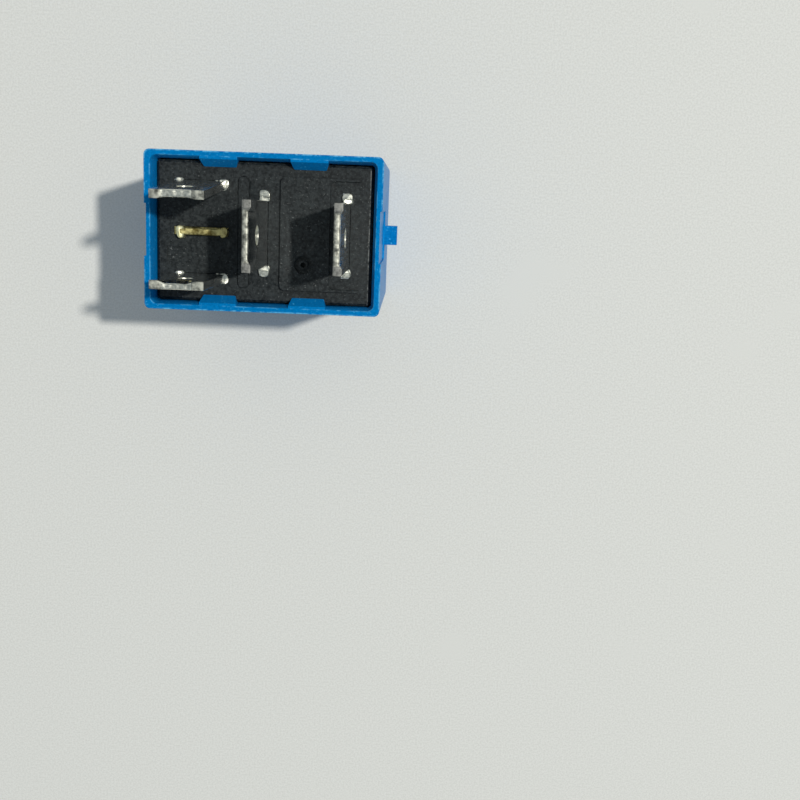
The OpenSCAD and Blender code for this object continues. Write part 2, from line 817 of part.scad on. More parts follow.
// Leaf spring: a leg on the yoke, a bend round the pivot and an arm that lies under the armature
module contact_spring() {
    arm_mid = spring_z + spring_t / 2 - pole_z;
    mid_x = spring_x + spring_t / 2;
    bend_x = mid_x - spring_r;
    line_x = pivot_x - arm_mid * sin(open_deg);
    line_z = pole_z + arm_mid * cos(open_deg);
    bend_z = line_z + (spring_r + sin(open_deg) * (bend_x - line_x)) / cos(open_deg);
    turn = 90 - open_deg;
    tip_x = contact_x - spring_tip_w / 2;
    arm_l = (line_x - tip_x) / cos(open_deg);
    leg_top = rivet_zs[1] + leg_margin;
    steps = 24;
    function bend(r) = [
        for (k = [0:steps]) [bend_x + r * cos(k * turn / steps), bend_z - r * sin(k * turn / steps)]
    ];
    function tip(r) = [
        line_x - arm_l * cos(open_deg) + (r - spring_r) * sin(open_deg),
        line_z - arm_l * sin(open_deg) - (r - spring_r) * cos(open_deg)
    ];
    outer = spring_r + spring_t / 2;
    inner = spring_r - spring_t / 2;
    chain_out = concat([[bend_x + outer, leg_top]], bend(outer), [tip(outer)]);
    chain_in = concat([[bend_x + inner, leg_top]], bend(inner), [tip(inner)]);
    last = len(chain_in) - 1;
    taper_x = axis_x - pole_d / 2;
    color(brass)
        difference() {
            intersection() {
                translate([0, spring_w / 2, 0])
                    rotate([90, 0, 0])
                        linear_extrude(spring_w)
                            polygon(concat(chain_out, [for (k = [0:last]) chain_in[last - k]]));
                linear_extrude(cover_h)
                    union() {
                        polygon([
                            [common_x + blade_t, spring_w / 2], [taper_x, spring_w / 2],
                            [contact_x + spring_tip_w / 2, spring_tip_w / 2],
                            [contact_x, spring_tip_w / 2], [contact_x, -spring_tip_w / 2],
                            [contact_x + spring_tip_w / 2, -spring_tip_w / 2],
                            [taper_x, -spring_w / 2], [common_x + blade_t, -spring_w / 2]
                        ]);
                        translate([contact_x, 0])
                            circle(d = spring_tip_w);
                    }
            }
            spring_rivet_holes();
            opened() {
                armature_rivet_holes();
                contact_hole(spring_z - spring_t, 3 * spring_t);
            }
        }
}

module armature_rivets() {
    color(silver)
        opened()
            for (side = [-1, 1])
                translate([armature_rivet_x, side * armature_rivet_pitch / 2, spring_z - rivet_head_h]) {
                    cylinder(d = rivet_head_d, h = rivet_head_h);
                    cylinder(d = rivet_d, h = rivet_head_h + spring_t + armature_t);
                }
}

module spring_rivets() {
    color(silver)
        for (z = rivet_zs)
            translate([yoke_in_x, 0, z])
                rotate([0, 90, 0]) {
                    cylinder(d = rivet_d, h = yoke_t + spring_t + blade_t + rivet_head_h);
                    translate([0, 0, yoke_t + spring_t + blade_t])
                        cylinder(d = rivet_head_d, h = rivet_head_h);
                }
}

// Contact rivet that stands on z = 0 with its face up and its riveted end under a sheet of the given thickness
module contact_rivet(sheet) {
    cylinder(d = contact_d, h = contact_h);
    translate([0, 0, -sheet - rivet_end_h])
        cylinder(d = shank_d, h = sheet + rivet_end_h + eps);
    translate([0, 0, -sheet - rivet_end_h])
        cylinder(d = shank_d + 2 * rivet_end_h, h = rivet_end_h);
}

module moving_contact() {
    color(silver)
        opened()
            translate([contact_x, 0, armature_z])
                contact_rivet(spring_t);
}

module fixed_contact() {
    color(silver)
        translate([contact_x, 0, foot_z])
            mirror([0, 0, 1])
                contact_rivet(blade_t);
}

module resistor_body() {
    color(former_white)
        translate([resistor_x, 0, resistor_z])
            rotate([90, 0, 0])
                cylinder(d = resistor_d, h = resistor_l, center = true);
}

module resistor_leads() {
    color(silver)
        for (side = [0, 180])
            translate([resistor_x, 0, resistor_z])
                rotate([-90, 0, side])
                    translate([0, 0, resistor_l / 2])
                        cylinder(d = lead_d, h = coil_y - blade_t / 2 - resistor_l / 2);
}

cover();
base();
common_terminal();
make_terminal();
upper_coil_terminal();
lower_coil_terminal();
back_stop();
bobbin();
coil_winding();
coil_lead_wires();
iron_core();
yoke();
armature();
contact_spring();
armature_rivets();
spring_rivets();
moving_contact();
fixed_contact();
resistor_body();
resistor_leads();
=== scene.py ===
# %% [markdown]
# A small plug-in power relay stands on its closed top, so that the camera looks at its blade terminals.
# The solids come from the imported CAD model. This lesson dresses them: it cleans and softens the moulded
# parts, grows the stamped blades and staked ears out of numpy grids, and gives every part a finish made of
# shader nodes.

# %% Load the frame
from math import radians
import bmesh
import bpy
import numpy as np
from mathutils import Matrix


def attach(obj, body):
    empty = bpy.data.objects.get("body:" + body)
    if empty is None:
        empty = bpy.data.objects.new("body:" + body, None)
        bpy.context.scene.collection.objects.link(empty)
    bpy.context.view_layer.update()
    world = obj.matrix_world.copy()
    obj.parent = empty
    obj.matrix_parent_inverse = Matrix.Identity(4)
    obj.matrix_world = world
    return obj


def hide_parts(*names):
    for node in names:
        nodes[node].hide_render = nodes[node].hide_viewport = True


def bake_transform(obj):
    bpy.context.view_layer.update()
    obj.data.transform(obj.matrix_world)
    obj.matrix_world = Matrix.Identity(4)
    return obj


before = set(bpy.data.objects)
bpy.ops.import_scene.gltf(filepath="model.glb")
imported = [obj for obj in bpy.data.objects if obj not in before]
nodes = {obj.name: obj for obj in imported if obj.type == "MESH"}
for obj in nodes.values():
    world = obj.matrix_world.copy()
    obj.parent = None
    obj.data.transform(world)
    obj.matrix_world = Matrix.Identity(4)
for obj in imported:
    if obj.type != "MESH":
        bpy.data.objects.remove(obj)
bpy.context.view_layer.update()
scene = bpy.context.scene
scene.view_settings.view_transform = "Standard"
MM = 0.001
print("CAD nodes:", len(nodes))

# %% [markdown]
# The camera is a close-up one, almost straight above. It could be aimed by eye, but the part's sizes are
# known, so its turn and place were fitted to the corners of the cover and to the blade tips, in millimetres
# from the middle of the cover's rim. The three turns make a rotation from the part to the camera, so its
# transpose turns the camera in the scene.

# %% Camera
RIM_Z = 25.0
TILT, ROLL, SPIN = np.radians([10.41153, -0.67089, -2.12399])
VIEW_SHIFT = np.array([-13.204, 15.979, -100.225])
FOCAL_PIXELS = 1042.6
FRAME_PIXELS = 800
SENSOR_MM = 36.0
CLIP_START = 0.005


def turn_about(axis, angle):
    """Rotation matrix about X, Y or Z: the cosine and sine of the angle in the two other axes."""
    return np.array(Matrix.Rotation(angle, 3, axis))


to_camera = turn_about("X", TILT) @ turn_about("Y", ROLL) @ turn_about("Z", SPIN)
camera_place = -to_camera.T @ VIEW_SHIFT + np.array([0.0, 0.0, RIM_Z])
camera_data = bpy.data.cameras.new("camera")
camera_data.sensor_width = SENSOR_MM
camera_data.lens = FOCAL_PIXELS / FRAME_PIXELS * SENSOR_MM
camera_data.clip_start = CLIP_START
camera = bpy.data.objects.new("camera", camera_data)
camera.matrix_world = Matrix.Translation(camera_place * MM) @ Matrix(to_camera.T.tolist()).to_4x4()
scene.collection.objects.link(camera)
scene.camera = camera
print("camera at", np.round(camera_place, 1), "mm, lens", round(camera_data.lens, 2))

# %% [markdown]
# One lamp from the right gives the slanting shadow of each blade, and the pale sky of the world fills the
# shadows with a cooler light. A sun lamp would do too. A disc at a distance is used, because its size sets
# how soft a shadow's edge grows away from what casts it.

# %% Lamp and world
LAMP_WAY = np.array([0.4145, 0.1534, 0.8971])
LAMP_AWAY = 1.4
LAMP_SIZE = 0.056
LAMP_WATTS = 12.8
LAMP_COLOUR = (1.0, 0.975, 0.90)
SKY_COLOUR = (0.285, 0.32, 0.34, 1.0)

lamp_data = bpy.data.lights.new("key lamp", "AREA")
lamp_data.shape = "DISK"
lamp_data.size = LAMP_SIZE
lamp_data.energy = LAMP_WATTS
lamp_data.color = LAMP_COLOUR
lamp = bpy.data.objects.new("key lamp", lamp_data)
lamp_place = Matrix.Translation(LAMP_WAY * LAMP_AWAY)
lamp_turn = lamp_place.to_translation().to_track_quat("Z", "Y").to_matrix().to_4x4()
lamp.matrix_world = lamp_place @ lamp_turn
scene.collection.objects.link(lamp)

world = bpy.data.worlds.new("pale sky")
world.use_nodes = True
world.node_tree.nodes["Background"].inputs["Color"].default_value = SKY_COLOUR
scene.world = world
print("lamp:", LAMP_WATTS, "W, sky:", SKY_COLOUR[:3])

# %% [markdown]
# Every new surface here is a grid: two parameters run along its rows and columns, and numpy works out all the
# points at once. The helpers below join the points into quads, close the ends with a fan where the surface
# has a pole, and turn the faces outwards by the sign of the volume they enclose.

# %% Grid helpers


def grid_quads(rows, cols, close_rows, close_cols):
    """Corner numbers of a grid's quads, row by row. A closed direction joins its last line to its first."""
    row = np.arange(rows if close_rows else rows - 1)
    col = np.arange(cols if close_cols else cols - 1)
    i, j = np.meshgrid(row, col, indexing="ij")
    i_next = (i + 1) % rows
    j_next = (j + 1) % cols
    corners = [i * cols + j, i * cols + j_next, i_next * cols + j_next, i_next * cols + j]
    return np.stack(corners, -1).reshape(-1, 4)


def fan(pole, ring):
    """Triangles from one pole point to each pair of neighbours on a ring."""
    return np.stack([np.full(len(ring), pole), ring, np.roll(ring, -1)], -1)


def tube_faces(rows, cols):
    """Quads along a tube of closed rows, a fan on its first row and a fan on its last. The two poles follow
    the grid's points."""
    count = rows * cols
    first = np.arange(cols)
    last = first + count - cols
    return [grid_quads(rows, cols, False, True), fan(count, first[::-1]), fan(count + 1, last)]


def enclosed(points, faces):
    """Six times the enclosed volume: the sum of the box products of each face's fan of triangles."""
    total = 0.0
    for side in range(1, faces.shape[1] - 1):
        a, b, c = (points[faces[:, k]] for k in (0, side, side + 1))
        total += np.einsum("ij,ij->", a, np.cross(b, c))
    return total


def new_piece(name, points, face_sets, materials, body, face_slots=None, sharp=35.0):
    """Makes a mesh object from points in millimetres, smooth but for edges sharper than the given angle."""
    outward = sum(enclosed(points, faces) for faces in face_sets) > 0
    polygons = [face if outward else face[::-1] for faces in face_sets for face in faces.tolist()]
    mesh = bpy.data.meshes.new(name)
    mesh.from_pydata((points * MM).tolist(), [], polygons)
    for material in materials:
        mesh.materials.append(material)
    if face_slots is not None:
        mesh.polygons.foreach_set("material_index", face_slots.astype(np.int32))
    mesh.shade_smooth()
    mesh.set_sharp_from_angle(angle=radians(sharp))
    piece = bpy.data.objects.new(name, mesh)
    scene.collection.objects.link(piece)
    if body:
        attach(piece, body)
    print(f"{name}: {len(points)} points, {len(polygons)} faces")
    return piece


# %% [markdown]
# Finishes come next. They could be painted as pictures, but nodes stay sharp at any distance. Moulded
# plastic and torn metal share a fine grain, and rolled metals share long streaks, so each effect is a node
# group with a mask, a second mask and a height. A material places a group with its own scale, and feeds the
# masks to the colour and the roughness and the height to a Bump node.

# %% Node helpers


def wire(tree, source, target):
    """Links an output socket to an input socket."""
    tree.links.new(source, target)


def make_group(name, inputs, outputs):
    """An empty shader group with named value inputs and outputs."""
    group = bpy.data.node_groups.new(name, "ShaderNodeTree")
    for label, value in inputs.items():
        socket = group.interface.new_socket(label, in_out="INPUT", socket_type="NodeSocketFloat")
        socket.default_value = value
    for label in outputs:
        group.interface.new_socket(label, in_out="OUTPUT", socket_type="NodeSocketFloat")
    start = group.nodes.new("NodeGroupInput")
    end = group.nodes.new("NodeGroupOutput")
    return group, start, end


def noise_node(tree, scale_socket, vector, detail, rough):
    """A noise whose scale comes from a socket."""
    node = tree.nodes.new("ShaderNodeTexNoise")
    node.inputs["Detail"].default_value = detail
    node.inputs["Roughness"].default_value = rough
    wire(tree, scale_socket, node.inputs["Scale"])
    wire(tree, vector, node.inputs["Vector"])
    return node.outputs["Fac"]


def spread(tree, value, low, high):
    """A smooth step of a value from one level to another."""
    node = tree.nodes.new("ShaderNodeMapRange")
    node.interpolation_type = "SMOOTHSTEP"
    node.inputs["From Min"].default_value = low
    node.inputs["From Max"].default_value = high
    wire(tree, value, node.inputs["Value"])
    return node.outputs["Result"]


# %% Fine grain group
grain, grain_in, grain_out = make_group(
    "fine grain", {"Scale": 6000.0, "Speck scale": 9000.0}, ["Mask", "Speck", "Height"])
grain_place = grain.nodes.new("ShaderNodeTexCoord").outputs["Object"]
grain_cloud = noise_node(grain, grain_in.outputs["Scale"], grain_place, detail=3.0, rough=0.6)
grain_speck = noise_node(grain, grain_in.outputs["Speck scale"], grain_place, detail=2.0, rough=0.7)
wire(grain, spread(grain, grain_cloud, low=0.3, high=0.7), grain_out.inputs["Mask"])
wire(grain, spread(grain, grain_speck, low=0.62, high=0.74), grain_out.inputs["Speck"])
wire(grain, grain_cloud, grain_out.inputs["Height"])
print("group:", grain.name)

# %% Long streaks group
ALONG_STREAKS = 0.05
streaks, streaks_in, streaks_out = make_group(
    "long streaks", {"Scale": 4000.0, "Blotch scale": 700.0}, ["Mask", "Blotch", "Height"])
streaks_place = streaks.nodes.new("ShaderNodeTexCoord").outputs["Object"]
streaks_map = streaks.nodes.new("ShaderNodeMapping")
streaks_map.inputs["Scale"].default_value = (1.0, 1.0, ALONG_STREAKS)
wire(streaks, streaks_place, streaks_map.inputs["Vector"])
streaks_line = noise_node(streaks, streaks_in.outputs["Scale"], streaks_map.outputs["Vector"],
                          detail=3.0, rough=0.6)
streaks_blotch = noise_node(streaks, streaks_in.outputs["Blotch scale"], streaks_place,
                            detail=3.0, rough=0.55)
wire(streaks, spread(streaks, streaks_line, low=0.35, high=0.65), streaks_out.inputs["Mask"])
wire(streaks, spread(streaks, streaks_blotch, low=0.4, high=0.65), streaks_out.inputs["Blotch"])
wire(streaks, streaks_line, streaks_out.inputs["Height"])
print("group:", streaks.name)

# %% [markdown]
# Lines of colour are painted along moulded edges. The cover's rim shows a broken pale line, partly wear and
# partly a painted highlight of its edges, and the base at the common terminal's end gets a painted highlight
# where its chamfer catches the light, broken like wear. The line could be painted by hand, but every one of
# them follows a rectangle with round corners. So its mask is the distance from that rectangle, worked out
# from the Object coordinates, times a cloudy noise that breaks it up. A height step keeps it on the edge that
# is meant. The same group, with a dark colour, gives a painted shadow in the corner round the base's raised
# panel.

# %% Edge line group: wear, painted highlights and painted shadows


def sums(tree, operation, first, second=0.0):
    """A Math node. Each operand is a number or a socket."""
    node = tree.nodes.new("ShaderNodeMath")
    node.operation = operation
    for socket, value in zip(node.inputs, (first, second)):
        if isinstance(value, float):
            socket.default_value = value
        else:
            wire(tree, value, socket)
    return node.outputs["Value"]


WEAR_LIGHT_SHADE_INPUTS = {
    "Middle": 0.0, "Half length": 0.011, "Half width": 0.007, "Corner": 0.0006, "Line width": 0.0001,
    "Height": 0.025, "Scale": 700.0,
}
# The group's mask draws a broken line: wear, painted highlights and painted shadows, by the tone mixed in.
wear_light_shade_line, edge_line_in, edge_line_out = make_group("edge wear", WEAR_LIGHT_SHADE_INPUTS, ["Mask"])
edge_line_place = wear_light_shade_line.nodes.new("ShaderNodeTexCoord").outputs["Object"]
edge_line_axes = wear_light_shade_line.nodes.new("ShaderNodeSeparateXYZ")
wire(wear_light_shade_line, edge_line_place, edge_line_axes.inputs["Vector"])

# %% Distance from the rounded rectangle
edge_line_corner = edge_line_in.outputs["Corner"]
middle_x = sums(wear_light_shade_line, "SUBTRACT", edge_line_axes.outputs["X"], edge_line_in.outputs["Middle"])
from_middle = sums(wear_light_shade_line, "ABSOLUTE", middle_x)
from_axis = sums(wear_light_shade_line, "ABSOLUTE", edge_line_axes.outputs["Y"])
straight_x = sums(wear_light_shade_line, "SUBTRACT", edge_line_in.outputs["Half length"], edge_line_corner)
straight_y = sums(wear_light_shade_line, "SUBTRACT", edge_line_in.outputs["Half width"], edge_line_corner)
past_x = sums(wear_light_shade_line, "SUBTRACT", from_middle, straight_x)
past_y = sums(wear_light_shade_line, "SUBTRACT", from_axis, straight_y)
square_x = sums(wear_light_shade_line, "POWER", sums(wear_light_shade_line, "MAXIMUM", past_x, 0.0), 2.0)
square_y = sums(wear_light_shade_line, "POWER", sums(wear_light_shade_line, "MAXIMUM", past_y, 0.0), 2.0)
beyond = sums(wear_light_shade_line, "SQRT", sums(wear_light_shade_line, "ADD", square_x, square_y))
within = sums(wear_light_shade_line, "MINIMUM", sums(wear_light_shade_line, "MAXIMUM", past_x, past_y), 0.0)
away = sums(wear_light_shade_line, "ABSOLUTE", sums(wear_light_shade_line, "SUBTRACT", sums(wear_light_shade_line, "ADD", beyond, within), edge_line_corner))
on_line = spread(wear_light_shade_line, sums(wear_light_shade_line, "DIVIDE", away, edge_line_in.outputs["Line width"]), low=1.0, high=0.0)

# %% Height step and broken line
above = sums(wear_light_shade_line, "SUBTRACT", edge_line_axes.outputs["Z"], edge_line_in.outputs["Height"])
on_edge = spread(wear_light_shade_line, above, low=-0.3 * MM, high=-0.1 * MM)
edge_line_cloud = noise_node(wear_light_shade_line, edge_line_in.outputs["Scale"], edge_line_place, detail=4.0, rough=0.7)
patchy = spread(wear_light_shade_line, edge_line_cloud, low=0.44, high=0.62)
line_there = sums(wear_light_shade_line, "MULTIPLY", on_line, on_edge)
wire(wear_light_shade_line, sums(wear_light_shade_line, "MULTIPLY", line_there, patchy), edge_line_out.inputs["Mask"])
print("node groups:", [group.name for group in bpy.data.node_groups])

# %% [markdown]
# Each kind of surface gets a function of its own, so that one line can make a finish. Moulded plastic has
# two close shades and pale flecks, rolled metal has blotches and streaks, and torn or struck metal has a
# dull, bumpy grain. The shader itself stays in the material, and only masks and values come from the groups.

# %% Material helpers


def new_material(name, group, scales):
    """A material with a Principled shader and one placed group. Gives the tree, shader and group node too."""
    material = bpy.data.materials.new(name)
    material.use_nodes = True
    tree = material.node_tree
    placed = tree.nodes.new("ShaderNodeGroup")
    placed.node_tree = group
    for label, value in scales.items():
        placed.inputs[label].default_value = value
    return material, tree, tree.nodes["Principled BSDF"], placed


def mixed(tree, mask, first, second):
    """A colour that goes from the first to the second with the mask. Either may be a colour or a socket."""
    node = tree.nodes.new("ShaderNodeMix")
    node.data_type = "RGBA"
    wire(tree, mask, node.inputs["Factor"])
    for socket, colour in zip(("A_Color", "B_Color"), (first, second)):
        target = next(s for s in node.inputs if s.identifier == socket)
        if isinstance(colour, tuple):
            target.default_value = (*colour, 1.0)
        else:
            wire(tree, colour, target)
    return next(s for s in node.outputs if s.identifier == "Result_Color")


def ranged(tree, mask, low, high):
    """A value that runs from low to high with the mask."""
    node = tree.nodes.new("ShaderNodeMapRange")
    node.inputs["To Min"].default_value = low
    node.inputs["To Max"].default_value = high
    wire(tree, mask, node.inputs["Value"])
    return node.outputs["Result"]


def bumped(tree, shader, height, depth_mm):
    """Bump at full strength from a height, as deep as the given millimetres."""
    node = tree.nodes.new("ShaderNodeBump")
    node.inputs["Strength"].default_value = 1.0
    node.inputs["Distance"].default_value = depth_mm * MM
    wire(tree, height, node.inputs["Height"])
    wire(tree, node.outputs["Normal"], shader.inputs["Normal"])


# %% Kinds of surface


def moulded(name, dark, light, fleck, fine, specks, rough, depth_mm, shine=0.5, shine_tint=(1.0, 1.0, 1.0)):
    """Moulded plastic: two close shades in a fine grain, pale flecks, an uneven gloss and a fine bump."""
    scales = {"Scale": fine, "Speck scale": specks}
    material, tree, shader, placed = new_material(name, grain, scales)
    shader.inputs["Specular IOR Level"].default_value = shine
    shader.inputs["Specular Tint"].default_value = (*shine_tint, 1.0)
    shade = mixed(tree, placed.outputs["Mask"], dark, light)
    wire(tree, mixed(tree, placed.outputs["Speck"], shade, fleck), shader.inputs["Base Color"])
    wire(tree, ranged(tree, placed.outputs["Mask"], *rough), shader.inputs["Roughness"])
    bumped(tree, shader, placed.outputs["Height"], depth_mm)
    return material


def bare_metal(name, group, scales, shade_mask, dark, light, rough, depth_mm):
    """Metal with two shades by one mask of its group, a gloss by the main mask, and a bump."""
    material, tree, shader, placed = new_material(name, group, scales)
    shader.inputs["Metallic"].default_value = 1.0
    wire(tree, mixed(tree, placed.outputs[shade_mask], dark, light), shader.inputs["Base Color"])
    wire(tree, ranged(tree, placed.outputs["Mask"], *rough), shader.inputs["Roughness"])
    bumped(tree, shader, placed.outputs["Height"], depth_mm)
    return material


def rolled(name, dark, light, fine, blotch, rough, depth_mm):
    """Bare or plated metal: shades in blotches, a gloss that changes along rolling streaks, a slight bump."""
    scales = {"Scale": fine, "Blotch scale": blotch}
    return bare_metal(name, streaks, scales, "Blotch", dark, light, rough, depth_mm)


def sheared(name, dark, light, fine, rough, depth_mm):
    """Torn or struck metal: two shades in a fine grain, a dull gloss and a deeper bump."""
    return bare_metal(name, grain, {"Scale": fine}, "Mask", dark, light, rough, depth_mm)


def paint_wear_light_shade(material, middle, half_l, half_w, corner_r, line_w, height, scale, tone):
    """Mixes a broken line over a material's colour, along a rounded rectangle given in millimetres.
    Pale tones give wear and painted highlights, a dark tone gives a painted shadow.
    """
    tree = material.node_tree
    placed = tree.nodes.new("ShaderNodeGroup")
    placed.node_tree = wear_light_shade_line
    sizes = {"Middle": middle, "Half length": half_l, "Half width": half_w, "Corner": corner_r,
             "Line width": line_w, "Height": height}
    for label, value in sizes.items():
        placed.inputs[label].default_value = value * MM
    placed.inputs["Scale"].default_value = scale
    colour = tree.nodes["Principled BSDF"].inputs["Base Color"]
    wire(tree, mixed(tree, placed.outputs["Mask"], colour.links[0].from_socket, tone), colour)


# %% [markdown]
# The cover is a saturated blue moulding. Its gloss is tinted blue, because a white gloss would turn its
# lit faces grey. Two broken pale lines follow the inner and the outer edge of the rim: partly wear, partly a
# painted highlight of those edges. The base is dark glass-filled plastic: the glass shows as pale flecks, and
# the skin is matt. A painted highlight, broken like wear, lies on its end where the chamfer catches the
# light, and a painted shadow lies round its panel. The former inside is ivory, as such mouldings often are.

# %% Moulded finishes
FACE_Z = 23.65
cover_blue = moulded(
    "blue moulding", dark=(0.0004, 0.160, 0.45), light=(0.0008, 0.205, 0.56), fleck=(0.07, 0.46, 0.82),
    fine=4200.0, specks=3800.0, rough=(0.32, 0.46), depth_mm=0.016, shine_tint=(0.02, 0.35, 0.8))
# Broken pale lines on the rim's inner and outer edges: partly wear, partly a painted highlight of those
# edges.
paint_wear_light_shade(cover_blue, middle=0.0, half_l=10.88, half_w=7.11, corner_r=0.66, line_w=0.08,
     height=RIM_Z, scale=900.0, tone=(0.09, 0.42, 0.76))
paint_wear_light_shade(cover_blue, middle=0.0, half_l=11.4, half_w=7.55, corner_r=0.6, line_w=0.12,
     height=RIM_Z, scale=1800.0, tone=(0.14, 0.50, 0.80))
base_grey = moulded(
    "dark glass-filled moulding", dark=(0.0025, 0.0050, 0.0065), light=(0.030, 0.0365, 0.039),
    fleck=(0.14, 0.15, 0.15), fine=3400.0, specks=5200.0, rough=(0.5, 0.66), depth_mm=0.02, shine=0.25)
# A broken pale line on the base's end, where its chamfer catches the light: a painted highlight, broken like
# wear.
paint_wear_light_shade(base_grey, middle=-10.0, half_l=20.2, half_w=8.0, corner_r=0.0, line_w=0.09,
     height=FACE_Z, scale=1500.0, tone=(0.19, 0.196, 0.19))
# A dark line in the corner round the raised panel: a painted shadow of the panel's edge.
paint_wear_light_shade(base_grey, middle=5.415, half_l=3.955, half_w=5.53, corner_r=0.55, line_w=0.16,
     height=FACE_Z, scale=80.0, tone=(0.003, 0.004, 0.005))
former_ivory = moulded(
    "ivory moulding", dark=(0.62, 0.57, 0.46), light=(0.70, 0.66, 0.56), fleck=(0.80, 0.77, 0.68),
    fine=3000.0, specks=6000.0, rough=(0.45, 0.6), depth_mm=0.008)
print("moulded finishes:", len(bpy.data.materials))

# %% [markdown]
# The blades are tinned: bright on the rolled faces, dull where the sheet was sheared, uneven where it was
# coined or struck. The stub and its ears are bare brass with the same kinds of surface.

# %% Tin and brass
tin = rolled("bright tin", (0.78, 0.78, 0.755), (0.88, 0.88, 0.85),
             fine=3000.0, blotch=900.0, rough=(0.10, 0.18), depth_mm=0.0003)
tin_land = sheared("sheared blade end", (0.16, 0.16, 0.152), (0.33, 0.33, 0.312),
                   fine=5000.0, rough=(0.45, 0.6), depth_mm=0.012)
tin_strip = sheared("coined blade end", (0.14, 0.14, 0.124), (0.66, 0.66, 0.58),
                    fine=1700.0, rough=(0.42, 0.56), depth_mm=0.014)
tin_struck = sheared("struck tin", (0.56, 0.56, 0.49), (0.90, 0.90, 0.80),
                     fine=3000.0, rough=(0.3, 0.44), depth_mm=0.014)
brass_bare = rolled("bare brass", (0.60, 0.49, 0.20), (0.74, 0.63, 0.29),
                    fine=2600.0, blotch=700.0, rough=(0.24, 0.36), depth_mm=0.002)
brass_torn = sheared("sheared brass", (0.19, 0.145, 0.042), (0.80, 0.71, 0.33),
                     fine=1500.0, rough=(0.40, 0.56), depth_mm=0.016)
brass_struck = sheared("struck brass", (0.94, 0.87, 0.46), (1.0, 0.97, 0.70),
                       fine=3000.0, rough=(0.36, 0.5), depth_mm=0.014)
print("finishes so far:", len(bpy.data.materials))

# %% [markdown]
# The inner parts are never seen from outside, so they get the finishes that such parts have: plated iron,
# enamelled wire, spring bronze, silver contacts and a resistor with a dipped coat.

# %% Inner finishes
soft_iron = rolled("plated soft iron", (0.40, 0.41, 0.42), (0.52, 0.53, 0.54),
                   fine=3000.0, blotch=500.0, rough=(0.3, 0.45), depth_mm=0.004)
copper_wire = rolled("enamelled copper", (0.36, 0.13, 0.05), (0.52, 0.22, 0.09),
                     fine=900.0, blotch=400.0, rough=(0.22, 0.34), depth_mm=0.002)
spring_bronze = rolled("spring bronze", (0.52, 0.32, 0.15), (0.62, 0.41, 0.21),
                       fine=4000.0, blotch=600.0, rough=(0.2, 0.3), depth_mm=0.002)
rivet_bright = rolled("plated rivets", (0.58, 0.58, 0.58), (0.70, 0.70, 0.69),
                      fine=3000.0, blotch=900.0, rough=(0.22, 0.32), depth_mm=0.003)
contact_silver = rolled("contact silver", (0.70, 0.69, 0.66), (0.84, 0.83, 0.80),
                        fine=3000.0, blotch=1200.0, rough=(0.28, 0.4), depth_mm=0.003)
resistor_coat = moulded(
    "dipped coat", dark=(0.42, 0.33, 0.20), light=(0.52, 0.42, 0.28), fleck=(0.60, 0.50, 0.36),
    fine=1800.0, specks=5000.0, rough=(0.28, 0.4), depth_mm=0.006)
print("finishes:", len(bpy.data.materials))

# %% [markdown]
# The floor is a sheet of white paper under the part. Its fibres and its faint cloudiness come from the same
# grain group, at two scales. It only stages the part.

# %% Paper floor
FLOOR_HALF, FLOOR_LINES = 3000.0, 13
FIBRE_DARK, FIBRE_LIGHT, PAPER_CLOUD = (0.71, 0.71, 0.690), (0.81, 0.81, 0.788), (0.765, 0.765, 0.744)
PAPER_ROUGH, PAPER_SHINE = 0.8, 0.2
PAPER_SCALES = {"Scale": 4500.0, "Speck scale": 50.0}

paper, paper_tree, paper_shader, paper_grain = new_material("white paper", grain, PAPER_SCALES)
paper_fibre = mixed(paper_tree, paper_grain.outputs["Mask"], FIBRE_DARK, FIBRE_LIGHT)
paper_colour = mixed(paper_tree, paper_grain.outputs["Speck"], paper_fibre, PAPER_CLOUD)
wire(paper_tree, paper_colour, paper_shader.inputs["Base Color"])
paper_shader.inputs["Roughness"].default_value = PAPER_ROUGH
paper_shader.inputs["Specular IOR Level"].default_value = PAPER_SHINE
floor_line = np.linspace(-FLOOR_HALF, FLOOR_HALF, FLOOR_LINES)
floor_x, floor_y = np.meshgrid(floor_line, floor_line, indexing="ij")
floor_points = np.stack([floor_x, floor_y, np.zeros_like(floor_x)], -1).reshape(-1, 3)
floor_quads = grid_quads(FLOOR_LINES, FLOOR_LINES, False, False)[:, ::-1]
floor_mesh = bpy.data.meshes.new("paper_floor")
floor_mesh.from_pydata((floor_points * MM).tolist(), [], floor_quads.tolist())
floor_mesh.materials.append(paper)
floor = bpy.data.objects.new("paper_floor", floor_mesh)
scene.collection.objects.link(floor)
print("floor is", 2 * FLOOR_HALF * MM, "m wide")

# %% [markdown]
# The cover and the base are right in shape as they come from the CAD model, but a moulded edge is never quite
# sharp, and a soft edge catches a line of light. They could be modelled again, but a copy of the solid is
# truer to it: it is merged, its flat triangles are joined into whole faces, and a Bevel modifier rounds each
# edge a little.

# %% Softened copies of moulded parts
MERGE_GAP = 1e-7
FLAT_ANGLE, EDGE_ANGLE = radians(0.5), radians(25.0)


def merged_shape(node):
    """A CAD node's triangles as an editable shape, with its doubled corners merged."""
    shape = bmesh.new()
    shape.from_mesh(nodes[node].data)
    bmesh.ops.remove_doubles(shape, verts=shape.verts, dist=MERGE_GAP)
    return shape


def flat_mesh(shape, name):
    """A mesh of the shape, with its flat triangles joined into whole faces."""
    bmesh.ops.dissolve_limit(shape, angle_limit=FLAT_ANGLE, verts=shape.verts, edges=shape.edges)
    mesh = bpy.data.meshes.new(name)
    shape.to_mesh(mesh)
    shape.free()
    return mesh


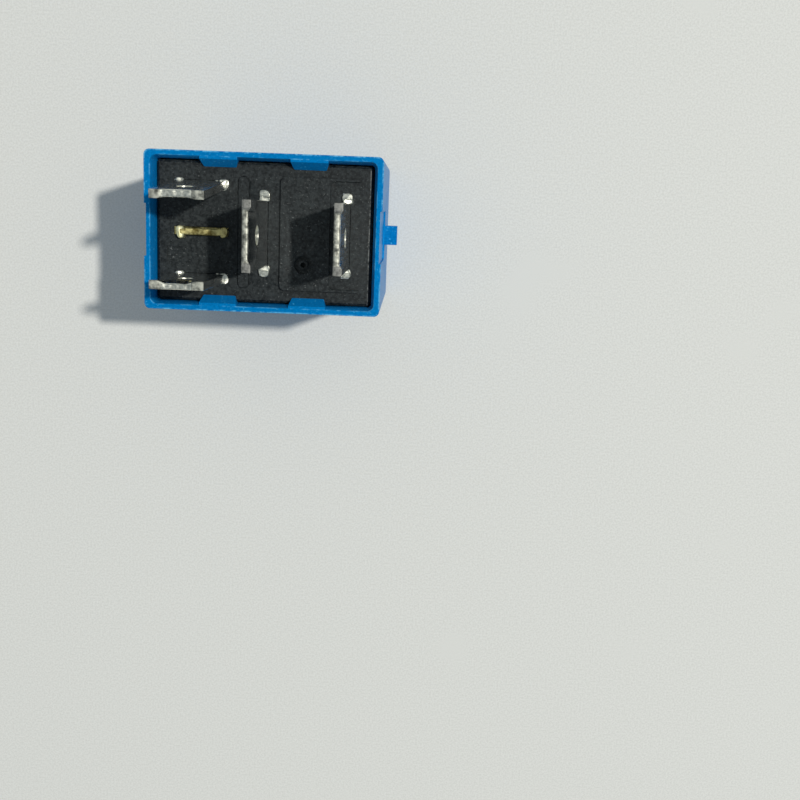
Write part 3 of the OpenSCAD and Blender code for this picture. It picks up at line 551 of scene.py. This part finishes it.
def soften(mesh, name, node, material, width_mm):
    """Stands for a CAD node: the cleaned mesh with a small bevel on each sharp edge."""
    mesh.materials.append(material)
    mesh.shade_smooth()
    mesh.set_sharp_from_angle(angle=EDGE_ANGLE)
    piece = bpy.data.objects.new(name, mesh)
    scene.collection.objects.link(piece)
    bevel = piece.modifiers.new("soft edges", "BEVEL")
    bevel.width = width_mm * MM
    bevel.segments = 2
    bevel.limit_method = "ANGLE"
    bevel.angle_limit = EDGE_ANGLE
    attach(piece, "relay_frame")
    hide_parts(node)
    print(f"{name}: {len(mesh.polygons)} faces before the bevel")


cover_mesh = flat_mesh(merged_shape("cover"), "moulded_cover")
soften(cover_mesh, "moulded_cover", "cover", cover_blue, width_mm=0.05)
base_mesh = flat_mesh(merged_shape("base"), "moulded_base")
soften(base_mesh, "moulded_base", "base", base_grey, width_mm=0.03)

# %% [markdown]
# A terminal is stamped from sheet: a long blade with a detent hole and a tip that is coined thinner between
# two lands. It could be a box with a hole cut in it, but one closed grid gives clean edges all round. Round
# the outline runs the first parameter, and the second runs from the hole out over the front, round the edge,
# back over the rear face and through the hole again, so the grid closes both ways.

# %% Blade outline
BLADE_L, BLADE_T, BLADE_ROOT = 11.05, 0.8, 0.6
ROOT_STEPS, SIDE_STEPS, TIP_STEPS = 24, 70, 120


def smooth(share):
    """A soft step from 0 to 1: three times the square less twice the cube."""
    share = np.clip(share, 0, 1)
    return share * share * (3 - 2 * share)


def blade_outline(width):
    """Points round the blade, from the lower left corner: straight runs with finer steps along the tip."""
    half = width / 2
    low, high = -BLADE_ROOT, BLADE_L
    across = np.linspace(-half, half, ROOT_STEPS, endpoint=False)
    upward = np.linspace(low, high, SIDE_STEPS, endpoint=False)
    along_tip = np.linspace(half, -half, TIP_STEPS, endpoint=False)
    downward = np.linspace(high, low, SIDE_STEPS, endpoint=False)
    runs = [
        np.stack([across, np.full_like(across, low)], -1),
        np.stack([np.full_like(upward, half), upward], -1),
        np.stack([along_tip, np.full_like(along_tip, high)], -1),
        np.stack([np.full_like(downward, -half), downward], -1),
    ]
    at_tip = np.concatenate([np.full(len(run), k == 2) for k, run in enumerate(runs)])
    return np.concatenate(runs), at_tip


# %% Blade surface
TIP_LAND, TIP_RUN = 0.6, 0.25
EDGE_R, STRIP_R = 0.045, 0.2
FACE_STEPS = 34
EDGE_TURN = np.radians(np.linspace(15, 90, 6))
WAVES, WAVE_H = 6, 0.009
WAVE_PACE, ANY_PHASE = (1.5, 11), (0, 6)
LAND, STRIP, HOLE = 1, 2, 3


def blade_grid(width, hole_d, hole_drop, tip_t, tip_l, soft, seed):
    """Blade points as (across, up, out of the front face), and a material number for each quad.

    A point lies on the ray from the hole's centre to an outline point, at a reach that the second parameter
    gives, and the thickness follows the same parameter. Edges are quarter rounds, small where the sheet was
    sheared and large along the coined strip, where random waves lower the edge. The coin thins the front by
    a ramp times a soft step."""
    outline, at_tip = blade_outline(width)
    draw = np.random.default_rng(seed)
    strip = at_tip * smooth((width / 2 - TIP_LAND - np.abs(outline[:, 0])) / soft)
    centre = np.array([0.0, BLADE_L - hole_drop])
    ray = outline - centre
    far = np.linalg.norm(ray, axis=1)
    ray = ray / far[:, None]
    for pace in draw.uniform(*WAVE_PACE, WAVES):
        far = far - WAVE_H * strip * (1 + np.sin(pace * outline[:, 0] + draw.uniform(*ANY_PHASE)))
    far = far[:, None]
    near = hole_d / 2
    share = np.linspace(0, 1, FACE_STEPS)
    edge_r = (EDGE_R + (STRIP_R - EDGE_R) * strip)[:, None]
    face_reach = near + EDGE_R + (far - edge_r - near - EDGE_R) * share
    rim_reach = far - edge_r * (1 - np.sin(EDGE_TURN))
    rim_top = BLADE_T / 2 - edge_r * (1 - np.cos(EDGE_TURN))
    hole_reach = near + EDGE_R * (1 - np.sin(EDGE_TURN)) + 0 * far
    hole_top = BLADE_T / 2 - EDGE_R * (1 - np.cos(EDGE_TURN)) + 0 * far
    flat = BLADE_T / 2 + 0 * face_reach
    reach = np.concatenate([face_reach, rim_reach, rim_reach[:, ::-1], face_reach[:, ::-1],
                            hole_reach, hole_reach[:, ::-1]], 1)
    out = np.concatenate([flat, rim_top, -rim_top[:, ::-1], -flat, -hole_top, hole_top[:, ::-1]], 1)
    across = centre[0] + reach * ray[:, :1]
    up = centre[1] + reach * ray[:, 1:]
    ramp = np.clip((up - BLADE_L + tip_l) / tip_l, 0, 1)
    room = width / 2 - TIP_LAND - TIP_RUN * (1 - ramp) - np.abs(across)
    coin = (BLADE_T - tip_t) * ramp * smooth(room / soft)
    out = -BLADE_T / 2 + (out + BLADE_T / 2) * (BLADE_T - coin) / BLADE_T
    points = np.stack([across, up, out], -1).reshape(-1, 3)
    rows, cols = reach.shape
    col = np.arange(cols)
    edge_cols = (col >= FACE_STEPS) & (col < FACE_STEPS + 2 * len(EDGE_TURN) - 1)
    hole_cols = col >= 2 * (FACE_STEPS + len(EDGE_TURN)) - 1
    kind = (np.where(strip > 0.5, STRIP, LAND) * at_tip)[:, None] * edge_cols + HOLE * hole_cols
    return points, grid_quads(rows, cols, True, True), kind.reshape(-1)


# %% [markdown]
# Two wide blades carry the load and two narrow ones feed the coil. All four come from the same function with
# their own sizes and a seed each. The upper coil blade leans inwards, as if it had been pushed once, so its
# axes are turned a little before it is put in its place.

# %% Four blades
POWER_KINDS = [tin, tin_land, tin_strip, tin_struck]
COIL_KINDS = [tin, tin_strip, tin_struck, tin_struck]
POWER = {"width": 6.3, "hole_d": 1.8, "hole_drop": 3.9, "tip_t": 0.57, "tip_l": 3.4, "soft": 0.4}
COIL = {"width": 4.8, "hole_d": 1.45, "hole_drop": 3.6, "tip_t": 0.64, "tip_l": 1.2, "soft": 0.9}
LOWER_COIL = {**COIL, "tip_t": 0.5}
COIL_X, COIL_Y, MAKE_X, COMMON_X = -6.18, 4.48, -0.08, 7.92
COIL_LEAN = radians(5.75)


def stand(points, place, across_way, out_way, lean=0.0):
    """Puts (across, up, out) points in the part's frame: up is Z, and a lean turns up towards the front."""
    across_way = np.array(across_way, float)
    out_way = np.array(out_way, float)
    up_way = np.cos(lean) * np.array([0, 0, 1.0]) + np.sin(lean) * out_way
    front_way = np.cos(lean) * out_way - np.sin(lean) * np.array([0, 0, 1.0])
    axes = np.stack([across_way, up_way, front_way])
    return points @ axes + np.array(place)


BLADES = {
    "common_blade": (POWER, (COMMON_X, 0, FACE_Z), (0, 1, 0), (1, 0, 0), 0.0),
    "make_blade": (POWER, (MAKE_X, 0, FACE_Z), (0, 1, 0), (1, 0, 0), 0.0),
    "upper_coil_blade": (COIL, (COIL_X, COIL_Y, FACE_Z), (1, 0, 0), (0, -1, 0), COIL_LEAN),
    "lower_coil_blade": (LOWER_COIL, (COIL_X, -COIL_Y, FACE_Z), (1, 0, 0), (0, 1, 0), 0.0),
}
for seed, (blade_name, (size, place, across_way, out_way, lean)) in enumerate(BLADES.items()):
    blade_points, blade_quads, quad_kinds = blade_grid(**size, seed=seed)
    blade_points = stand(blade_points, place, across_way, out_way, lean)
    kinds = POWER_KINDS if size is POWER else COIL_KINDS
    new_piece(blade_name, blade_points, [blade_quads], kinds, "relay_frame", quad_kinds,
              sharp=30.0)

# %% [markdown]
# Below the base's face each terminal goes on as a shank with its inner legs. That part is taken from the CAD
# solid, cut just under the face, so the blade and the staked ears above can have shapes of their own.

# %% Terminal roots
CUT_Z = FACE_Z - 0.02
CUT_GAP = 1e-8


def cut_root(node, material):
    """The part of a CAD node under the base's face, closed where it was cut."""
    name = node + "_root"
    shape = merged_shape(node)
    everything = shape.verts[:] + shape.edges[:] + shape.faces[:]
    cut = bmesh.ops.bisect_plane(shape, geom=everything, dist=CUT_GAP, plane_co=(0, 0, CUT_Z * MM),
                                 plane_no=(0, 0, 1), clear_outer=True)
    rim = [part for part in cut["geom_cut"] if isinstance(part, bmesh.types.BMEdge)]
    bmesh.ops.contextual_create(shape, geom=rim)
    soften(flat_mesh(shape, name), name, node, material, width_mm=0.03)


for terminal in ("common_terminal", "make_terminal", "upper_coil_terminal", "lower_coil_terminal"):
    cut_root(terminal, tin)
cut_root("back_stop", brass_bare)

# %% [markdown]
# Where a shank comes through the base, its corners are struck over into small ears that hold it. Each strike
# is a little different. Sculpting would do, but a formula with a seed is easier to change: an ear is a dome
# on a D-shaped outline. Slanted planes cut it, one for each blow of the punch, and a fold crosses it where
# the punch met the edge.

# %% Ear surface
EAR_RINGS, EAR_ROUND = 26, 72
INNER_POWER, OUTER_POWER = 5.0, 2.6
TWO_WAVE, THREE_WAVE = 0.06, 0.05
BLOWS, BLOW_SHARE, BLOW_SLOPE = 4, (0.8, 0.95), (0.04, 0.34)
FOLD_SLOPE, FOLD_H, FOLD_RUN = 0.24, 0.05, 0.07
SUNK = 0.06


def superellipse(angle, power):
    """Distance of a superellipse of size 1 from its centre, in the direction of the angle."""
    return (np.abs(np.cos(angle)) ** power + np.abs(np.sin(angle)) ** power) ** (-1 / power)


def ear_dome(reach, width, height, lit_way, seed, fold):
    """Points of one ear as (outward, across, up), with a flat side at outward = 0.

    The outline is a superellipse, squarer on its inner half than on its outer half, with two waves. The
    height is a flat dome of the sixth power, cut by a random plane for each blow. Inside the fold, a share
    of the reach, the top lies lower and slants towards the lit way."""
    draw = np.random.default_rng(seed)
    angle = np.linspace(0, 2 * np.pi, EAR_ROUND, endpoint=False)
    ring = np.linspace(1, 0, EAR_RINGS, endpoint=False)[:, None]
    size = superellipse(angle, np.where(np.cos(angle) < 0, INNER_POWER, OUTER_POWER))
    two_wave = TWO_WAVE * np.sin(2 * angle + draw.uniform(*ANY_PHASE))
    three_wave = THREE_WAVE * np.sin(3 * angle + draw.uniform(*ANY_PHASE))
    size = size * (1 + two_wave + three_wave)
    outward = reach / 2 * (1 + ring * size * np.cos(angle))
    across = width / 2 * ring * size * np.sin(angle)
    up = height * (1 - ring ** 6) ** (1 / 3) + 0 * angle
    for way in draw.uniform(0, 2 * np.pi, BLOWS):
        fall = np.cos(way) * (outward - reach / 2) + np.sin(way) * across
        up = np.minimum(up, height * draw.uniform(*BLOW_SHARE) - draw.uniform(*BLOW_SLOPE) * fall)
    lit_fall = np.cos(lit_way) * (outward - reach / 2) + np.sin(lit_way) * across
    inside = smooth((fold * reach - outward) / FOLD_RUN)
    up = up - inside * (FOLD_H + FOLD_SLOPE * lit_fall) * (1 - ring ** 4)
    up = np.maximum(up, 0)
    skin = np.stack([outward, across, up - SUNK], -1).reshape(-1, 3)
    low = np.array([[reach / 2, 0, -SUNK]])
    high = np.array([[reach / 2, 0, up[-1].mean() - SUNK]])
    return np.concatenate([skin, low, high])


def ear(name, place, degrees, size, seed, fold, material, slot):
    """One ear at a place on the base's face, pointing outwards along the given way."""
    way = radians(degrees)
    outward_way = np.array([np.cos(way), np.sin(way), 0])
    across_way = np.array([-np.sin(way), np.cos(way), 0])
    axes = np.stack([outward_way, across_way, np.array([0, 0, 1.0])])
    points = ear_dome(*size, -way, seed, fold) @ axes + np.array([*place, FACE_Z])
    new_piece(name, points, tube_faces(EAR_RINGS, EAR_ROUND), [material], "relay_frame", sharp=40.0)


# %% [markdown]
# Each row below gives an ear's place on the base's face, its way in degrees, its reach, width and height,
# its seed and its fold. A fold of 0 leaves the ear without one, and a fold above 1 puts the whole ear inside
# it.

# %% Staked ears
EARS = {
    "make_ear_upper": ((MAKE_X + 0.1, 3.02), 90, (1.15, 1.14, 0.54), 12, 0.42),
    "make_ear_lower": ((MAKE_X + 0.1, -3.08), -90, (1.1, 1.14, 0.54), 22, 0.5),
    "common_ear_upper": ((COMMON_X + 0.12, 3.14), 90, (0.98, 1.1, 0.5), 11, 0.45),
    "common_ear_lower": ((COMMON_X + 0.1, -3.1), -90, (0.98, 0.95, 0.5), 21, 0.5),
    "upper_coil_ear_right": ((COIL_X + 1.72, 4.5), 0, (1.04, 1.08, 0.54), 31, 0.35),
    "upper_coil_prong": ((COIL_X + 1.95, 4.62), 168, (0.6, 0.42, 0.48), 33, 0.0),
    "upper_coil_ear_left": ((COIL_X - 1.65, 4.68), 180, (0.9, 0.78, 0.42), 41, 1.3),
    "lower_coil_ear_right": ((COIL_X + 1.66, -4.55), 0, (1.04, 1.14, 0.54), 32, 0.4),
    "lower_coil_prong": ((COIL_X + 1.95, -4.28), 160, (0.55, 0.3, 0.4), 34, 0.0),
    "lower_coil_ear_left": ((COIL_X - 1.65, -4.32), 180, (0.9, 0.85, 0.4), 42, 1.3),
}
for ear_name, row in EARS.items():
    ear(ear_name, *row, tin_struck, "tinned_metal")
ear("back_stop_ear_right", (COIL_X + 1.98, -0.06), 0, (0.7, 1.0, 1.0), 51, 0.5, brass_torn, "bare_brass")
ear("back_stop_ear_left", (COIL_X - 1.5, -0.1), 180, (0.85, 1.22, 1.05), 52, 1.3, brass_struck, "bare_brass")

# %% [markdown]
# The brass strip ends in a short stub between its ears. It was sheared off, so a plain box would look too
# clean. It is a low bar with a rounded section: a superellipse carried along X, a little uneven on top.

# %% Brass stub
STUB_W, STUB_H, STUB_POWER = 4.4, 0.8, 5.0
STUB_ROWS, STUB_ROUND = 58, 60
END_POWER, END_ROOT = 24, 1 / 6
SLACK, EDGE_SLACK = 0.012, 0.03
STEP_Y, STEP_H, STEP_RUN = 0.2, 0.16, 0.12


def stub_bar():
    """A rounded bar: a superellipse section along X that closes at both ends. Its top was sheared, so a
    ledge along +Y lies a step lower, and the top line is a little slack: a sum of two sines along X."""
    along = np.linspace(-1, 1, STUB_ROWS + 2)[1:-1, None]
    angle = np.linspace(0, 2 * np.pi, STUB_ROUND, endpoint=False)
    size = superellipse(angle, STUB_POWER)
    close = (1 - np.abs(along) ** END_POWER) ** END_ROOT
    x = COIL_X + STUB_W / 2 * along + 0 * angle
    y = BLADE_T / 2 * close * size * np.cos(angle)
    z = FACE_Z + STUB_H / 2 * (1 + close * size * np.sin(angle)) - SUNK
    slack = np.sin(2.1 * x) + 0.6 * np.sin(5.3 * x + 1.0)
    step = smooth((y - STEP_Y + EDGE_SLACK * slack) / STEP_RUN)
    z = z + (SLACK * slack - STEP_H * step) * np.clip(np.sin(angle), 0, 1)
    end_z = FACE_Z + STUB_H / 2
    ends = np.array([[COIL_X - STUB_W / 2, 0, end_z], [COIL_X + STUB_W / 2, 0, end_z]])
    return np.concatenate([np.stack([x, y, z], -1).reshape(-1, 3), ends])


new_piece("brass_stub", stub_bar(), tube_faces(STUB_ROWS, STUB_ROUND), [brass_torn], "relay_frame",
          sharp=50.0)

# %% [markdown]
# Inside, nothing shows from outside, but the part is also used on its own. The winding could be one long
# helix of wire, which needs many faces. Instead it gets a profile of one round bump per turn, carried round
# the coil's axis.

# %% Wound coil
AXIS_X = 0.42
WINDING_LOW, WINDING_TOP = 6.65, 17.0
WINDING_R, TUBE_R = 5.4, 3.05
WIRE_D = 0.26
TURN_STEPS, COIL_ROUND = 6, 72


def wound_coil():
    """A closed profile carried round Z: outside, half circles one wire wide; inside, the straight tube."""
    turns = int((WINDING_TOP - WINDING_LOW) / WIRE_D)
    height = np.linspace(WINDING_LOW, WINDING_TOP, turns * TURN_STEPS + 1)
    phase = (height - WINDING_LOW) / (WINDING_TOP - WINDING_LOW) * turns
    bulge = np.sqrt(np.clip(1 - (2 * (phase % 1) - 1) ** 2, 0, 1))
    radius = WINDING_R - WIRE_D / 2 + WIRE_D / 2 * bulge
    profile_r = np.concatenate([radius, [TUBE_R, TUBE_R]])
    profile_z = np.concatenate([height, [WINDING_TOP, WINDING_LOW]])
    angle = np.linspace(0, 2 * np.pi, COIL_ROUND, endpoint=False)
    x = AXIS_X + profile_r[:, None] * np.cos(angle)
    y = profile_r[:, None] * np.sin(angle)
    z = profile_z[:, None] + 0 * angle
    return np.stack([x, y, z], -1).reshape(-1, 3), grid_quads(len(profile_r), len(angle), True, True)


coil_points, coil_quads = wound_coil()
coil = new_piece("wound_coil", coil_points, [coil_quads], [copper_wire], "relay_frame",
                 sharp=50.0)
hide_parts("coil_winding")

# %% [markdown]
# The leaf spring bends when the armature tips. Its arm moves with the armature and its leg stays on the yoke,
# so two rigid pieces would tear at the bend. The surface is a strip carried along a path, made as one piece
# that is not attached to a body.

# %% Leaf path
PIVOT_X, POLE_Z, OPEN = 7.07, 4.9, radians(3.62109)
SPRING_X, SPRING_T, SPRING_R = 7.37, 0.15, 1.3
SPRING_Z, LEG_TOP, CONTACT_X = 3.6, 16.825, -7.18
SPRING_W, SPRING_TIP_W, TAPER_X = 4.4, 3.4, -3.58
LEG_ROWS, BEND_ROWS, ARM_ROWS = 40, 24, 80


def leaf_path():
    """The strip's middle line in X and Z: up the yoke, a quarter turn less the opening angle, and out to the
    tip."""
    arm_mid = SPRING_Z + SPRING_T / 2 - POLE_Z
    mid_x = SPRING_X + SPRING_T / 2
    bend_x = mid_x - SPRING_R
    line = np.array([PIVOT_X - arm_mid * np.sin(OPEN), POLE_Z + arm_mid * np.cos(OPEN)])
    bend_z = line[1] + (SPRING_R + np.sin(OPEN) * (bend_x - line[0])) / np.cos(OPEN)
    leg_z = np.linspace(LEG_TOP, bend_z, LEG_ROWS, endpoint=False)
    leg = np.stack([np.full_like(leg_z, mid_x), leg_z], -1)
    turn = np.linspace(0, np.pi / 2 - OPEN, BEND_ROWS, endpoint=False)
    bend = np.stack([bend_x + SPRING_R * np.cos(turn), bend_z - SPRING_R * np.sin(turn)], -1)
    start = np.array([bend_x - SPRING_R * np.sin(OPEN), bend_z - SPRING_R * np.cos(OPEN)])
    tip_x = CONTACT_X - SPRING_TIP_W / 2
    tip = np.array([tip_x, line[1] + (tip_x - line[0]) * np.tan(OPEN)])
    share = np.sin(np.linspace(0, np.pi / 2, ARM_ROWS))[:, None]
    arm = start + (tip - start) * share
    return np.concatenate([leg, bend, arm])


# %% Leaf spring
LEAF_COLS = 9
END_LIMIT = 0.999


def leaf_strip():
    """The path with a width at each point and a thickness along its normal; the free end is a half circle."""
    path = leaf_path()
    along = np.gradient(path, axis=0)
    along = along / np.linalg.norm(along, axis=1)[:, None]
    normal = np.stack([-along[:, 1], along[:, 0]], -1)
    x = path[:, 0]
    taper = np.clip((x - CONTACT_X - SPRING_TIP_W / 2) / (TAPER_X - CONTACT_X - SPRING_TIP_W / 2), 0, 1)
    half = (SPRING_TIP_W + (SPRING_W - SPRING_TIP_W) * taper) / 2
    past = np.clip((CONTACT_X - x) / (SPRING_TIP_W / 2), 0, END_LIMIT)
    half = np.where(np.arange(len(x)) > LEG_ROWS + BEND_ROWS, half * np.sqrt(1 - past ** 2), half)
    across = np.linspace(-1, 1, LEAF_COLS)
    sheets = []
    for side in (1, -1):
        edge = path + normal * side * SPRING_T / 2
        sheet_y = half[:, None] * across[::side]
        sheets.append(np.stack([edge[:, :1] + 0 * sheet_y, sheet_y, edge[:, 1:] + 0 * sheet_y], -1))
    rows = np.concatenate(sheets, 1)
    ends = np.stack([rows[0].mean(0), rows[-1].mean(0)])
    return np.concatenate([rows.reshape(-1, 3), ends]), tube_faces(*rows.shape[:2])


leaf_points, leaf_faces = leaf_strip()
leaf = new_piece("leaf_spring", leaf_points, leaf_faces, [spring_bronze], None)
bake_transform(leaf)
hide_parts("contact_spring")

# %% [markdown]
# The other inner parts are right as the CAD model has them, so they only change their finish.

# %% Finishes of the inner parts
INNER = {
    "bobbin": former_ivory, "coil_lead_wires": copper_wire, "iron_core": soft_iron, "yoke": soft_iron,
    "armature": soft_iron, "armature_rivets": rivet_bright, "spring_rivets": rivet_bright,
    "moving_contact": contact_silver, "fixed_contact": contact_silver, "resistor_body": resistor_coat,
    "resistor_leads": rivet_bright,
}
for node_name, finish in INNER.items():
    nodes[node_name].data.materials.clear()
    nodes[node_name].data.materials.append(finish)
print("inner parts:", len(INNER))
